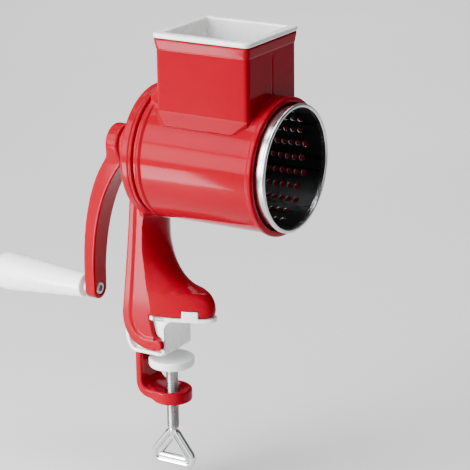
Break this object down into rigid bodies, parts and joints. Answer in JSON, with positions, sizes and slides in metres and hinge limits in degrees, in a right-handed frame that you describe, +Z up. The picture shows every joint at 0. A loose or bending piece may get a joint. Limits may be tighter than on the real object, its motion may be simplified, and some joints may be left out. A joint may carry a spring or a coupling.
{
  "type": "rotary cheese grater",
  "caption": "Hand-cranked rotary cheese grater in red plastic with a steel drum, square hopper, white grip and a table clamp.",
  "frame": {"origin": "middle of the flat sole of the foot, where it rests on the table top, 18 mm in front of the clamp screw", "axes": "+Z up along the stand, +Y towards the crank, -Y out of the open mouth, X = 0 the middle plane"},
  "size_m": [0.0852, 0.2264, 0.293],
  "materials": {
    "red_plastic": "gloss",
    "white_plastic": "gloss",
    "pad_plastic": "satin",
    "stainless": "bright",
    "bright_steel": "bright",
    "brass": "satin"
  },
  "bodies": {
    "stand": {"barrel_housing": "red_plastic", "hopper_liner": "white_plastic", "stand_frame": "red_plastic", "foot_liner": "pad_plastic", "bearing_bush": "white_plastic", "thrust_washer": "pad_plastic", "clamp_bracket": "red_plastic", "clamp_insert": "brass"},
    "crank": {"crank_arm": "red_plastic", "crank_insert": "brass", "grip_bolt": "bright_steel", "grip_washer": "pad_plastic", "grip_nut": "bright_steel"},
    "grip": {"handle_grip": "white_plastic", "grip_end_plug": "white_plastic"},
    "drum": {"drum_shell": "stainless", "drum_end_plate": "stainless", "drum_spindle": "bright_steel", "spindle_nut": "bright_steel"},
    "pad": {"clamp_pad": "pad_plastic"},
    "screw": {"clamp_screw": "bright_steel", "clamp_key": "bright_steel"}
  },
  "joints": [
    {"name": "crank_turn", "type": "hinge", "parent": "stand", "child": "crank", "pos_m": [0, 0.03, 0.108], "axis": [0, 1, 0], "continuous": true},
    {"name": "grip_spin", "type": "hinge", "parent": "crank", "child": "grip", "pos_m": [0, 0.117, 0.008], "axis": [0, 1, 0], "continuous": true},
    {"name": "drum_draw", "type": "slide", "parent": "crank", "child": "drum", "axis": [0, -1, 0], "range_m": [0, 0.13]},
    {"name": "pad_lift", "type": "slide", "parent": "stand", "child": "pad", "axis": [0, 0, 1], "range_m": [-0.0133, 0.0033]},
    {"name": "screw_turn", "type": "hinge", "parent": "pad", "child": "screw", "pos_m": [0, 0.018, -0.055], "axis": [0, 0, 1], "range_deg": [-3840, 960]}
  ],
  "couplings": [
    {"joint": "screw_turn", "follows": "pad_lift", "rad_per_m": 5026.6}
  ]
}
